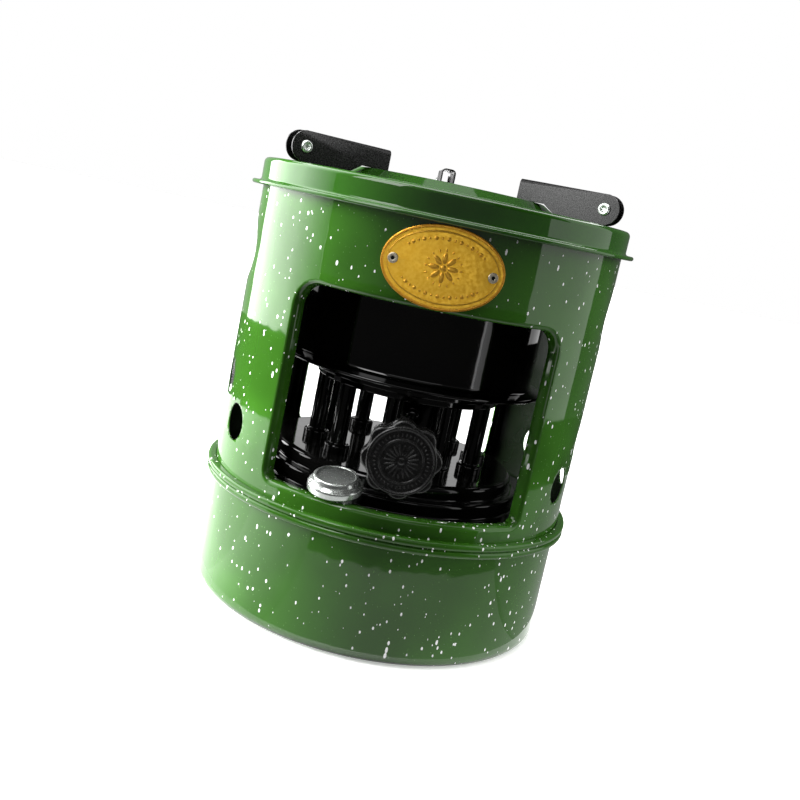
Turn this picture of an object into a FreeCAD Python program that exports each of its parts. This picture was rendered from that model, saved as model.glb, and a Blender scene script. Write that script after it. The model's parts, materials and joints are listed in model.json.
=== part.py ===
"""Ten-wick kerosene heater: enamelled drum on a round tank, wick lifter, burner and three folding arms."""
import FreeCAD, Part
import math
import os

# Frame: millimetres, +Z up, origin at the centre of the base, the window and knob face -Y.
front_angle = -90.0
rear_angle = 90.0

# Sheet metal
sheet = 1.0
drum_sheet = 0.9
flame_sheet = 0.8
part_gap = 0.4
fit_gap = 0.05

# Tank
tank_radius = 117.5
tank_base_bend = 7.0
foot_inner_radius = 104.0
foot_rise = 3.0
seam_z = 77.0
seam_flange_radius = 120.6
seam_radius = 122.8
seam_half_height = 4.4

# Tank top with its raised wick platform
tank_top_z = 84.0
tank_top_edge_radius = 115.6
step_radius = 86.5
step_z = 93.5
platform_radius = 81.0
platform_z = 103.0

# Shell
shell_radius = 117.7
shell_flange_radius = 110.0
window_half_angle = 41.2
window_sill_z = 91.5
window_top_z = 211.0
window_top_corner = 15.0
window_sill_corner = 6.0
window_edge_bend = 3.2
air_hole_radius = 11.75
low_hole_z = 113.5
high_hole_z = 137.0
low_hole_angles = (61.5, 90.0, 118.5)
high_hole_angles = (75.75, 104.25)
grip_height = 36.0
grip_depth = 5.0
grip_z = 218.0

# Top ring
lid_lip_radius = 125.0
lid_lip_z = 260.2
lid_hem_radius = 1.3
lid_wall_radius = 119.6
lid_z = 276.0
lid_edge_bend = 3.0
collar_foot_radius = 72.0
collar_radius = 62.0
collar_z = 282.0
collar_mouth_radius = 58.0

# Folding arms
arm_angles = {"rear": 90.0, "left": 210.0, "right": 330.0}
arm_pivot_radius = 107.0
arm_pivot_z = 285.6
arm_cheek_radius = 9.2
arm_length = 57.0
arm_width = 10.0
arm_tip_drop = 3.3
arm_top_bend = 1.8
pivot_radius = 2.0
pivot_head_radius = 3.75
pivot_head_height = 1.6
bracket_width = 7.2
bracket_eye_radius = 6.5
bracket_foot_start = 0.6
bracket_foot_end = 16.0
bracket_foot_thickness = 1.2
bracket_rivet_reach = 10.5
bracket_rivet_radius = 1.5
bracket_rivet_head = 2.3

# Wick tubes, wicks and burner ring
wick_count = 10
wick_circle_radius = 55.0
wick_phase = -8.6
tube_radius = 5.4
tube_bore_radius = 4.75
tube_collar_radius = 8.4
tube_collar_height = 5.8
tube_top_z = 151.0
tube_foot_z = 97.0
wick_radius = 4.3
wick_top_z = 152.5
wick_foot_z = 12.0
ring_inner_radius = 44.0
ring_floor_z = 148.0
ring_floor_radius = 61.5
ring_ledge_z = 152.5
ring_radius = 66.4
ring_rim_z = 156.0

# Burner that lifts off the ring
drum_radius = 80.0
drum_lip_radius = 88.0
drum_lip_z = 160.4
drum_hem_radius = 1.1
drum_top_z = 258.0
drum_floor_z = 168.0
outer_flame_radius = 64.6
inner_flame_radius = 46.6
flame_tube_top_z = 262.0
inner_tube_top_z = 256.0
flame_hole_radius = 1.7
flame_hole_rows = 7
flame_hole_pairs = 10
flame_pin_radius = 1.2
flame_pin_z = 247.0
spreader_z = 262.0

# Wick lifter
shaft_z = 123.0
shaft_radius = 2.5
shaft_front_y = -109.0
shaft_rear_y = 17.0
pinion_teeth = 10
tooth_module = 1.0
pinion_half_width = 4.0
rack_half_width = 3.0
rack_back = 4.8
rack_foot_z = 63.5
rack_top_z = 140.0
carrier_z = 62.0
carrier_inner_radius = 47.5
carrier_radius = 62.5
housing_left = -9.0
housing_right = 25.0
housing_half_depth = 14.0
housing_top_z = 158.0

# Knob
knob_face_y = -112.0
knob_thickness = 10.5
knob_lobes = 8
knob_lobe_start = 6.0
knob_lobe_radius = 7.4
knob_lobe_circle = 16.4
knob_body_radius = 21.2
knob_face_radius = 20.4
knob_face_rise = 2.4

# Filler, leaning towards the window
filler_x = -34.2
filler_y = -97.4
filler_z = 95.2
filler_lean = 11.0
neck_radius = 11.0
neck_top = 5.6
cap_radius = 16.5
cap_height = 9.6
cap_top_radius = 11.6

# Badge
badge_half_width = 34.8
badge_half_height = 23.2
badge_z = 235.2
badge_thickness = 0.8
eyelet_reach = 28.0


def vec(x, y, z):
    return FreeCAD.Vector(x, y, z)


def polar(radius, angle, z=0.0):
    a = math.radians(angle)
    return vec(radius * math.cos(a), radius * math.sin(a), z)


def outline_face(corners):
    """Closed face in the XZ plane from (x, z, bend radius) corners, bends drawn as arcs."""
    count = len(corners)
    stops = []
    for i, (x, z, bend) in enumerate(corners):
        here = vec(x, 0, z)
        before = vec(corners[i - 1][0], 0, corners[i - 1][1])
        after = vec(corners[(i + 1) % count][0], 0, corners[(i + 1) % count][1])
        inward = (here - before).normalize()
        outward = (after - here).normalize()
        turn = inward.getAngle(outward)
        if bend <= 0 or turn < 1e-4:
            stops.append((here, None, here))
            continue
        reach = bend * math.tan(turn / 2)
        start = here - inward * reach
        end = here + outward * reach
        middle_way = (outward - inward).normalize()
        depth = bend / math.cos(turn / 2) - bend
        stops.append((start, here + middle_way * depth, end))
    edges = []
    for i, (start, middle, end) in enumerate(stops):
        if middle is not None:
            edges.append(Part.Arc(start, middle, end).toShape())
        following = stops[(i + 1) % count][0]
        if end.distanceToPoint(following) > 1e-6:
            edges.append(Part.makeLine(end, following))
    return Part.Face(Part.Wire(edges))


def turned(corners):
    """Solid of revolution about Z."""
    return outline_face(corners).revolve(vec(0, 0, 0), vec(0, 0, 1), 360)


def turned_sheet(path, thickness):
    """Sheet metal turned about Z: the path is one face, the metal lies on its left."""
    last = len(path) - 1
    offset = []
    for i, (x, z, bend) in enumerate(path):
        ahead = vec(path[min(i + 1, last)][0] - x, 0, path[min(i + 1, last)][1] - z)
        behind = vec(x - path[max(i - 1, 0)][0], 0, z - path[max(i - 1, 0)][1])
        d_in = behind.normalize() if i > 0 else ahead.normalize()
        d_out = ahead.normalize() if i < last else d_in
        n_in = vec(-d_in.z, 0, d_in.x)
        n_out = vec(-d_out.z, 0, d_out.x)
        shift = (n_in + n_out) * (thickness / (1 + n_in.dot(n_out)))
        turn = d_in.x * d_out.z - d_in.z * d_out.x
        inner_bend = 0.0
        if bend > 0:
            inner_bend = max(bend - thickness, 0.0) if turn > 0 else bend + thickness
        offset.append((x + shift.x, z + shift.z, inner_bend))
    return turned(list(path) + offset[::-1])


def pipe(outer, inner, z0, z1):
    return Part.makeCylinder(outer, z1 - z0, vec(0, 0, z0)).cut(
        Part.makeCylinder(inner, z1 - z0, vec(0, 0, z0)))


def box(x0, x1, y0, y1, z0, z1):
    return Part.makeBox(x1 - x0, y1 - y0, z1 - z0, vec(x0, y0, z0))


def around(shape, angle):
    copy = shape.copy()
    copy.rotate(vec(0, 0, 0), vec(0, 0, 1), angle)
    return copy


def wick_places(z):
    step = 360.0 / wick_count
    return [polar(wick_circle_radius, front_angle + wick_phase + step * i, z) for i in range(wick_count)]


def filler_axis():
    """Unit vector along the filler neck, leaning outwards over the sill."""
    lean = math.radians(filler_lean)
    outward = vec(filler_x, filler_y, 0).normalize()
    return outward * math.sin(lean) + vec(0, 0, math.cos(lean))


def on_filler(shape):
    """Move a shape made about Z onto the filler's leaning axis."""
    placed = shape.copy()
    placed.Placement = FreeCAD.Placement(
        vec(filler_x, filler_y, filler_z), FreeCAD.Rotation(vec(0, 0, 1), filler_axis()))
    return placed


# ---------------------------------------------------------------- tank
def tank_shell():
    path = [
        (0.0, foot_rise, 0), (foot_inner_radius - 3, foot_rise, 2), (foot_inner_radius, 0, 2),
        (tank_radius, 0, tank_base_bend), (tank_radius, seam_z - sheet, 1.2),
        (seam_flange_radius, seam_z - sheet, 0)]
    return turned_sheet(path, sheet)


def tank_top():
    path = [
        (seam_flange_radius, seam_z + sheet, 0), (tank_top_edge_radius, seam_z + sheet, 0.6),
        (tank_top_edge_radius, tank_top_z, 2), (step_radius, tank_top_z, 1.5),
        (step_radius, step_z, 2.5), (platform_radius, step_z, 1.5),
        (platform_radius, platform_z, 3.5), (0, platform_z, 0)]
    plate = turned_sheet(path, sheet)
    holes = [Part.makeCylinder(tube_radius, 20, p) for p in wick_places(platform_z - 10)]
    slot = rack_half_width + part_gap
    holes.append(box(2.6, tooth_module * pinion_teeth / 2 + rack_back + 1.5, -slot, slot, 90, 110))
    neck_hole = on_filler(Part.makeCylinder(neck_radius, 40, vec(0, 0, -30)))
    return plate.cut(holes + [neck_hole])


def seam_band():
    low = seam_z + 0.5 - seam_half_height
    high = seam_z + 0.5 + seam_half_height
    middle = seam_z + 0.5
    groove = seam_flange_radius + 0.2
    under_bend = seam_z - 2.6
    return turned([
        (tank_radius + 0.3, low, 0.3), (seam_radius, low, 1.9), (seam_radius, middle - 0.6, 1.9),
        (seam_radius - 1.5, middle, 0.1), (seam_radius, middle + 0.6, 1.9), (seam_radius, high, 1.9),
        (shell_radius + 0.3, high, 0.3), (shell_radius + 0.3, seam_z + 2.2, 0),
        (groove, seam_z + 2.2, 0), (groove, under_bend, 0), (tank_radius + 0.3, under_bend, 0)])


# ---------------------------------------------------------------- shell
def window_wedge(grow):
    """Window cutter whose sides are radial, grown outwards by grow."""
    half = math.tan(math.radians(window_half_angle) + grow / shell_radius)
    low = window_sill_z - grow
    high = window_top_z + grow
    wires = []
    for y in (-50.0, -140.0):
        x = -y * half
        top = window_top_corner + grow
        foot = window_sill_corner + grow
        face = outline_face([(-x, low, foot), (x, low, foot), (x, high, top), (-x, high, top)])
        face.translate(vec(0, y, 0))
        wires.append(face.OuterWire)
    return Part.makeLoft(wires, True, True)


def bend_window_edges(body, radius, bend):
    """Round the edges where the window cuts the cylinder of the given radius."""
    edges = []
    for edge in body.Edges:
        ends = [edge.valueAt(edge.FirstParameter + (edge.LastParameter - edge.FirstParameter) * k / 4.0)
                for k in range(5)]
        on_wall = all(abs(math.hypot(p.x, p.y) - radius) < 0.01 for p in ends)
        in_height = all(window_sill_z - 3 < p.z < window_top_z + 3 for p in ends)
        if on_wall and in_height and abs(ends[0].y) > 60:
            edges.append(edge)
    return body.makeFillet(bend, edges)


def shell_body(radius, grow, bend, z0, z1):
    wedge = window_wedge(grow)
    body = Part.makeCylinder(radius, z1 - z0, vec(0, 0, z0)).cut([wedge, around(wedge, 180)])
    body = bend_window_edges(body, radius, bend)
    press = ((grip_height / 2) ** 2 + grip_depth ** 2) / (2 * grip_depth)
    for side in (-1, 1):
        centre_x = side * (shell_radius - grip_depth + press)
        body = body.cut(Part.makeCylinder(press + grow, 160, vec(centre_x, -80, grip_z), vec(0, 1, 0)))
    return body


def shell():
    z0 = seam_z + sheet
    z1 = lid_z - sheet - part_gap
    outer = shell_body(shell_radius, 0.0, window_edge_bend, z0, z1)
    inner = shell_body(shell_radius - sheet, sheet, window_edge_bend - sheet, z0 - 1, z1 + 1)
    wall = outer.cut(inner)
    wall = wall.cut(Part.makeCylinder(shell_flange_radius, 300))
    holes = []
    for angles, z in ((low_hole_angles, low_hole_z), (high_hole_angles, high_hole_z)):
        for angle in angles:
            for side in (-1, 1):
                start = polar(90, front_angle + side * angle, z)
                holes.append(Part.makeCylinder(air_hole_radius, 50, start, vec(start.x, start.y, 0)))
    relief = on_filler(Part.makeCylinder(neck_radius + 1.5, 12, vec(0, 0, -9)))
    wall = wall.cut(holes + [relief] + [eyelet_at(side, 1.9, -6, 6) for side in (-1, 1)])
    flange = pipe(seam_flange_radius, shell_radius - sheet, z0, z0 + sheet)
    return wall.fuse(flange).removeSplitter()


def badge_blank(half_width, half_height, r0, r1):
    """Oval plate curved to the shell."""
    oval = Part.Ellipse(vec(0, 0, 0), half_width, half_height)
    face = Part.Face(Part.Wire(oval.toShape()))
    face.rotate(vec(0, 0, 0), vec(1, 0, 0), 90)
    prism = face.extrude(vec(0, -60, 0))
    prism.translate(vec(0, -shell_radius + 30, badge_z))
    return prism.common(pipe(r1, r0, badge_z - 40, badge_z + 40))


def badge():
    base = badge_blank(badge_half_width, badge_half_height, shell_radius + 0.05, shell_radius + badge_thickness)
    rim = badge_blank(badge_half_width, badge_half_height, shell_radius + 0.3, shell_radius + badge_thickness + 0.5)
    rim = rim.cut(badge_blank(badge_half_width - 1.6, badge_half_height - 1.6, shell_radius, shell_radius + 3))
    plate = base.fuse(rim).removeSplitter()
    return plate.cut([eyelet_at(side, 1.9, -6, 6) for side in (-1, 1)])


def eyelet_at(side, radius, y0, y1):
    angle = front_angle + side * math.degrees(eyelet_reach / shell_radius)
    start = polar(shell_radius + y0, angle, badge_z)
    return Part.makeCylinder(radius, y1 - y0, start, polar(1, angle))


def badge_eyelets():
    pieces = []
    for side in (-1, 1):
        shank = eyelet_at(side, 1.9, -2.4, badge_thickness + 0.6)
        head = eyelet_at(side, 3.0, badge_thickness, badge_thickness + 0.6)
        tail = eyelet_at(side, 3.0, -2.4, -1.6)
        bore = eyelet_at(side, 1.1, -5, 5)
        pieces.append(shank.fuse([head, tail]).cut(bore))
    return Part.makeCompound(pieces)


# ---------------------------------------------------------------- top ring
def arm_place(shape, angle):
    """Move a shape made with its arm along +X and its pivot at the origin onto the top ring."""
    placed = around(shape, angle + 180)
    placed.translate(polar(arm_pivot_radius, angle, arm_pivot_z))
    return placed


def top_ring():
    path = [
        (collar_mouth_radius, collar_z - 5, 0), (collar_mouth_radius, collar_z, 2.2),
        (collar_radius, collar_z, 2.2), (collar_foot_radius, lid_z, 4),
        (lid_wall_radius, lid_z, lid_edge_bend), (lid_wall_radius, lid_lip_z + 1.4, 1.4),
        (lid_lip_radius - 1.2, lid_lip_z + 0.4, 0)]
    ring = turned_sheet(path[::-1], sheet)
    hem = Part.makeTorus(lid_lip_radius - lid_hem_radius, lid_hem_radius, vec(0, 0, lid_lip_z))
    ring = ring.fuse(hem)
    hole = Part.makeCylinder(bracket_rivet_radius, 8, vec(bracket_rivet_reach, 0, lid_z - arm_pivot_z - 4))
    return ring.cut([arm_place(hole, angle) for angle in arm_angles.values()])


def arm():
    r = arm_cheek_radius
    corners = [(0, r), (arm_length, r), (arm_length, -arm_tip_drop), (39, -arm_tip_drop), (30, -r), (0, -r)]
    edges = [Part.makeLine(vec(a[0], 0, a[1]), vec(b[0], 0, b[1])) for a, b in zip(corners, corners[1:])]
    edges.append(Part.Arc(vec(0, 0, -r), vec(-r, 0, 0), vec(0, 0, r)).toShape())
    half = arm_width / 2
    solid = Part.Face(Part.Wire(edges)).extrude(vec(0, arm_width, 0))
    solid.translate(vec(0, -half, 0))
    long_top = [e for e in solid.Edges if all(abs(v.Z - r) < 1e-6 and abs(abs(v.Y) - half) < 1e-6
                for v in e.Vertexes) and e.Length > 40]
    solid = solid.makeFillet(arm_top_bend, long_top)
    inside = half - sheet
    solid = solid.cut([
        box(-20, arm_length + 5, -inside, inside, -20, r - sheet),
        box(-20, 0, -inside, inside, 0, 20),
        Part.makeCylinder(pivot_radius + fit_gap, 40, vec(0, -20, 0), vec(0, 1, 0))])
    return solid


def bracket():
    base = lid_z - arm_pivot_z
    eye = bracket_eye_radius
    half = bracket_width / 2
    start, end = bracket_foot_start, bracket_foot_end
    corners = [(eye, 0), (end - 1, base + 2.2), (end - 1, base), (start, base), (start, -7.0), (-4.6, -4.59),
               (-eye, 0)]
    edges = [Part.makeLine(vec(a[0], 0, a[1]), vec(b[0], 0, b[1])) for a, b in zip(corners, corners[1:])]
    edges.append(Part.Arc(vec(-eye, 0, 0), vec(0, 0, eye), vec(eye, 0, 0)).toShape())
    ears = Part.Face(Part.Wire(edges)).extrude(vec(0, bracket_width, 0))
    ears.translate(vec(0, -half, 0))
    ears = ears.cut(box(-20, 30, -half + sheet, half - sheet, -20, 20))
    foot = box(start, end, -half, half, base, base + bracket_foot_thickness)
    clip = ears.fuse(foot).removeSplitter()
    return clip.cut([
        Part.makeCylinder(pivot_radius, 40, vec(0, -20, 0), vec(0, 1, 0)),
        Part.makeCylinder(bracket_rivet_radius, 10, vec(bracket_rivet_reach, 0, base - 4))])


def domed_pin(radius, length, head_radius, head_height):
    """Pin along +Z from the origin with a domed head on its far end."""
    corners = [(0, 0, 0), (radius, 0, 0), (radius, length, 0), (head_radius, length, 0),
               (head_radius * 0.92, length + head_height * 0.6, head_height * 0.8),
               (head_radius * 0.4, length + head_height, 1.0), (0, length + head_height, 0)]
    return turned(corners)


def pivot_rivet():
    reach = arm_width / 2 + 0.2
    half = domed_pin(pivot_radius, reach, pivot_head_radius, pivot_head_height)
    other = half.mirror(vec(0, 0, 0), vec(0, 0, 1))
    rivet = half.fuse(other).removeSplitter()
    rivet.rotate(vec(0, 0, 0), vec(1, 0, 0), 90)
    return rivet


def bracket_rivets():
    length = bracket_foot_thickness + sheet + 1.0
    pin = domed_pin(bracket_rivet_radius, length, bracket_rivet_head, 1.3)
    tail = Part.makeCylinder(bracket_rivet_head, 0.9)
    pin = pin.fuse(tail).removeSplitter()
    pin.translate(vec(bracket_rivet_reach, 0, lid_z - arm_pivot_z - sheet - 1.0))
    return Part.makeCompound([arm_place(pin, angle) for angle in arm_angles.values()])


# ---------------------------------------------------------------- wicks and burner ring
def wick_tube(place):
    z0 = platform_z
    collar = tube_collar_height
    tube = turned([
        (tube_bore_radius, tube_foot_z, 0), (tube_radius, tube_foot_z, 0), (tube_radius, z0, 0),
        (tube_collar_radius, z0, 0), (tube_collar_radius, z0 + collar, 1.6),
        (tube_radius, z0 + collar, 0.8), (tube_radius, tube_top_z, 0), (tube_bore_radius, tube_top_z, 0)])
    tube.translate(place)
    return tube


def wick(place):
    cord = Part.makeCylinder(wick_radius, wick_top_z - wick_foot_z, vec(0, 0, wick_foot_z))
    cord.translate(place)
    return cord


def burner_ring():
    path = [
        (ring_inner_radius, ring_rim_z, 0), (ring_inner_radius, ring_floor_z, 0.9),
        (ring_floor_radius, ring_floor_z, 0.9), (ring_floor_radius, ring_ledge_z, 0.9),
        (ring_radius, ring_ledge_z, 0.9), (ring_radius, ring_rim_z, 0)]
    trough = turned_sheet(path, drum_sheet)
    return trough.cut([Part.makeCylinder(tube_radius, 3, p) for p in wick_places(ring_floor_z - 1)])


# ---------------------------------------------------------------- lift-off burner
def outer_drum():
    path = [
        (drum_lip_radius - 1.0, drum_lip_z + 0.4, 0), (drum_radius, drum_lip_z + 3.2, 3),
        (drum_radius, drum_top_z, 2.5), (drum_radius - 4, drum_top_z, 0)]
    wall = turned_sheet(path, drum_sheet)
    hem = Part.makeTorus(drum_lip_radius - drum_hem_radius, drum_hem_radius, vec(0, 0, drum_lip_z))
    return wall.fuse(hem)


def drum_floor():
    plate = pipe(drum_radius - drum_sheet, outer_flame_radius, drum_floor_z, drum_floor_z + drum_sheet)
    middle = (drum_radius - drum_sheet + outer_flame_radius) / 2
    holes = [Part.makeCylinder(3.6, 6, polar(middle, 15 + 30 * i, drum_floor_z - 2)) for i in range(12)]
    return plate.cut(holes)


def flame_tube(radius, z0, z1):
    """Perforated tube: staggered rows of round holes drilled right across."""
    tube = pipe(radius, radius - flame_sheet, z0, z1)
    rows = flame_hole_rows
    pitch = (z1 - z0 - 34) / (rows - 1)
    drills = []
    for row in range(rows):
        for i in range(flame_hole_pairs):
            angle = (i + 0.5 * (row % 2)) * 180.0 / flame_hole_pairs
            start = polar(radius + 5, angle, z0 + 14 + row * pitch)
            drills.append(Part.makeCylinder(
                flame_hole_radius, 2 * radius + 10, start, vec(-start.x, -start.y, 0)))
    drills += [flame_pin(angle) for angle in (30, 150, 270)]
    return tube.cut(drills)


def flame_pin(angle):
    start = polar(inner_flame_radius - 3, angle, flame_pin_z)
    length = outer_flame_radius - inner_flame_radius + 5
    return Part.makeCylinder(flame_pin_radius, length, start, polar(1, angle))


def spreader_cap():
    r = inner_flame_radius + 0.3 + drum_sheet
    path = [(r, inner_tube_top_z - 5, 0), (r, inner_tube_top_z + 1.4, 2), (32, spreader_z, 8), (0, spreader_z, 0)]
    return turned_sheet(path, drum_sheet)


# ---------------------------------------------------------------- wick lifter
def lifter_housing():
    outer = box(housing_left, housing_right, -housing_half_depth, housing_half_depth, platform_z, housing_top_z)
    outer = outer.makeFillet(2.5, [e for e in outer.Edges if e.Length > 40])
    inner = box(housing_left + sheet, housing_right - sheet, sheet - housing_half_depth,
                housing_half_depth - sheet, platform_z - 1, housing_top_z - sheet)
    front_bore = Part.makeCylinder(4.0, 6, vec(0, -housing_half_depth - 3, shaft_z), vec(0, 1, 0))
    rear_bore = Part.makeCylinder(
        shaft_radius + fit_gap, 6, vec(0, housing_half_depth - 3, shaft_z), vec(0, 1, 0))
    return outer.cut([inner, front_bore, rear_bore])


def shaft_gland():
    y0 = -housing_half_depth
    hexagon = Part.Wire(Part.makePolygon(
        [vec(6 * math.cos(math.radians(60 * i)), y0 - 5, 6 * math.sin(math.radians(60 * i))) for i in range(7)]))
    nut = Part.Face(hexagon).extrude(vec(0, 5, 0))
    nut = nut.fuse(Part.makeCylinder(4.0, 3, vec(0, y0, 0), vec(0, 1, 0)))
    nut = nut.fuse(Part.makeCylinder(4.8, 2.5, vec(0, y0 - 7.5, 0), vec(0, 1, 0)))
    nut = nut.cut(Part.makeCylinder(shaft_radius + fit_gap, 40, vec(0, y0 - 20, 0), vec(0, 1, 0)))
    nut.translate(vec(0, 0, shaft_z))
    return nut.removeSplitter()


def knob_shaft():
    return Part.makeCylinder(shaft_radius, shaft_rear_y - shaft_front_y, vec(0, shaft_front_y, shaft_z),
                             vec(0, 1, 0))


def pinion():
    """Lifter gear with one tooth pointing at the rack (+X) at rest."""
    pitch = tooth_module * pinion_teeth / 2
    root, tip = pitch - 1.25 * tooth_module, pitch + tooth_module
    step = 360.0 / pinion_teeth
    points = []
    for i in range(pinion_teeth):
        for radius, turn in ((root, -10.5), (pitch, -7.0), (tip, -2.6), (tip, 2.6), (pitch, 7.0), (root, 10.5)):
            a = math.radians(i * step + turn)
            points.append(vec(radius * math.cos(a), -pinion_half_width, radius * math.sin(a)))
    gear = Part.Face(Part.Wire(Part.makePolygon(points + points[:1]))).extrude(vec(0, 2 * pinion_half_width, 0))
    gear = gear.cut(Part.makeCylinder(shaft_radius, 20, vec(0, -10, 0), vec(0, 1, 0)))
    gear.translate(vec(0, 0, shaft_z))
    return gear


def wick_rack():
    """Toothed bar beside the gear, with a tooth space level with the shaft at rest."""
    pitch = tooth_module * pinion_teeth / 2
    root, tip = pitch + 1.25 * tooth_module, pitch - tooth_module
    spacing = math.pi * tooth_module
    points = [vec(root + rack_back - 1.25, -rack_half_width, rack_top_z),
              vec(root + rack_back - 1.25, -rack_half_width, rack_foot_z),
              vec(root, -rack_half_width, rack_foot_z)]
    first = -5
    for k in range(first, 5):
        z = shaft_z + spacing * (k + 0.5)
        points += [vec(root, -rack_half_width, z - 1.0), vec(tip, -rack_half_width, z - 0.28),
                   vec(tip, -rack_half_width, z + 0.28), vec(root, -rack_half_width, z + 1.0)]
    points.append(vec(root, -rack_half_width, rack_top_z))
    return Part.Face(Part.Wire(Part.makePolygon(points + points[:1]))).extrude(vec(0, 2 * rack_half_width, 0))


def wick_carrier():
    """Star plate inside the tank that clamps every wick."""
    z1 = rack_foot_z
    plate = pipe(carrier_radius, carrier_inner_radius, carrier_z, z1)
    hub = Part.makeCylinder(16, z1 - carrier_z, vec(0, 0, carrier_z))
    spokes = [around(box(10, carrier_inner_radius + 2, -4, 4, carrier_z, z1), 72 * i + 18) for i in range(5)]
    plate = plate.fuse([hub] + spokes).removeSplitter()
    sleeves = [pipe(wick_radius + 0.9, wick_radius, z1, z1 + 6) for _ in range(wick_count)]
    for sleeve, place in zip(sleeves, wick_places(0)):
        sleeve.translate(place)
    holes = [Part.makeCylinder(wick_radius, 20, p) for p in wick_places(carrier_z - 5)]
    return plate.cut(holes).fuse(sleeves).removeSplitter()


# ---------------------------------------------------------------- knob
def knob():
    y0 = knob_face_y + knob_face_rise
    back = y0 + knob_thickness
    body = Part.makeCylinder(knob_body_radius, knob_thickness, vec(0, y0, 0), vec(0, 1, 0))
    lobes = []
    for i in range(knob_lobes):
        a = math.radians(knob_lobe_start + i * 360.0 / knob_lobes)
        centre = vec(knob_lobe_circle * math.cos(a), y0, knob_lobe_circle * math.sin(a))
        lobes.append(Part.makeCylinder(knob_lobe_radius, knob_thickness, centre, vec(0, 1, 0)))
    body = body.fuse(lobes).removeSplitter()
    rims = [e for e in body.Edges if all(abs(v.Y - y0) < 1e-6 or abs(v.Y - back) < 1e-6 for v in e.Vertexes)
            and abs(e.BoundBox.YLength) < 1e-6]
    body = body.makeFillet(1.6, rims)
    face = Part.makeCylinder(knob_face_radius, knob_face_rise + 2, vec(0, knob_face_y, 0), vec(0, 1, 0))
    dish = Part.makeCylinder(knob_face_radius - 2.2, 1.0, vec(0, knob_face_y, 0), vec(0, 1, 0))
    hub = Part.makeCylinder(8, 5, vec(0, back - 1, 0), vec(0, 1, 0))
    body = body.fuse([face, hub]).cut(dish)
    bore = Part.makeCylinder(shaft_radius, 40, vec(0, shaft_front_y, 0), vec(0, 1, 0))
    screw_hole = Part.makeCylinder(1.5, 20, vec(0, back + 2, 0), vec(0, 0, 1))
    body = body.cut([bore, screw_hole]).removeSplitter()
    body.translate(vec(0, 0, shaft_z))
    return body


def knob_screw():
    y = knob_face_y + knob_face_rise + knob_thickness + 2
    screw = Part.makeCylinder(1.5, 4.5, vec(0, y, shaft_z + shaft_radius), vec(0, 0, 1))
    slot = box(-2, 2, y - 0.3, y + 0.3, shaft_z + shaft_radius + 3.7, shaft_z + shaft_radius + 6)
    return screw.cut(slot)


# ---------------------------------------------------------------- filler
def filler_neck():
    """Leaning neck, trimmed flush with the underside of the tank top."""
    bore = neck_radius - 1.0
    neck = turned([(bore, -24, 0), (neck_radius, -24, 0), (neck_radius, neck_top, 0), (bore, neck_top, 0)])
    return on_filler(neck).cut(box(-60, 0, -130, -60, 50, tank_top_z - 4))


def filler_cap():
    """Pressed zinc cap: flat top, stepped shoulder, rolled skirt."""
    return on_filler(turned_sheet([
        (14.0, 0.2, 0), (cap_radius, 0.2, 2.2), (cap_radius, 5.4, 2.4), (14.2, 6.2, 1.2),
        (13.4, cap_height, 1.6), (cap_top_radius, cap_height, 0.6), (cap_top_radius - 0.8, cap_height - 0.6, 0.6),
        (0, cap_height - 0.6, 0)], 0.8))


def cap_gasket():
    return on_filler(pipe(neck_radius + 0.6, 3, neck_top + 0.1, neck_top + 1.9))


def write(name, shape):
    solids = shape.Solids
    assert solids and all(s.isValid() and s.isClosed() for s in solids), name
    body = solids[0] if len(solids) == 1 else Part.makeCompound(solids)
    body.exportStep("parts/" + name + ".step")
    print("%-18s solids %2d  volume %9.1f" % (name, len(solids), body.Volume))


def build():
    os.makedirs("parts", exist_ok=True)
    single_pieces = (
        tank_shell, tank_top, seam_band, shell, badge, badge_eyelets, top_ring, bracket_rivets, burner_ring,
        outer_drum, drum_floor, spreader_cap, lifter_housing, shaft_gland, knob_shaft, pinion, wick_rack,
        wick_carrier, knob, knob_screw, filler_neck, filler_cap, cap_gasket)
    for piece in single_pieces:
        write(piece.__name__, piece())
    for side, angle in arm_angles.items():
        write("arm_" + side, arm_place(arm(), angle))
        write("bracket_" + side, arm_place(bracket(), angle))
        write("pivot_" + side, arm_place(pivot_rivet(), angle))
    write("outer_flame_tube", flame_tube(outer_flame_radius, ring_ledge_z + drum_sheet + 0.2, flame_tube_top_z))
    write("inner_flame_tube", flame_tube(inner_flame_radius, ring_floor_z + drum_sheet + 0.2, inner_tube_top_z))
    write("flame_tube_pins", Part.makeCompound([flame_pin(angle) for angle in (30, 150, 270)]))
    for i, place in enumerate(wick_places(0)):
        write("wick_tube_%d" % (i + 1), wick_tube(place))
        write("wick_%d" % (i + 1), wick(place))


build()
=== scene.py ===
import json
import math
import bpy
import bmesh
from mathutils import Matrix, Vector


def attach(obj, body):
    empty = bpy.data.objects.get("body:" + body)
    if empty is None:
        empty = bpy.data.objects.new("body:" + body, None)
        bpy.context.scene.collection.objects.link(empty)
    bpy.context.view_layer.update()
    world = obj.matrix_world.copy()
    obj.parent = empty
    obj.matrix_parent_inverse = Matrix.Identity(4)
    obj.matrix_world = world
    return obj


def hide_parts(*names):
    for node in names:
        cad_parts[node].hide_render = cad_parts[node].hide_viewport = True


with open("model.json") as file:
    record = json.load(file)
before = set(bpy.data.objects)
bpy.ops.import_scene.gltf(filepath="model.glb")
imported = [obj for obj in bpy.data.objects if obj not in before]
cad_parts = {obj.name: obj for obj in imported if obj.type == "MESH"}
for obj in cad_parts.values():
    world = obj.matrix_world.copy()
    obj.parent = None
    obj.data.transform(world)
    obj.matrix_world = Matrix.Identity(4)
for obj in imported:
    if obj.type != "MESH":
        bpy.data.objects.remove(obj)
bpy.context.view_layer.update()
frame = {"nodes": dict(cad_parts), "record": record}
mm = 0.001
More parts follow.
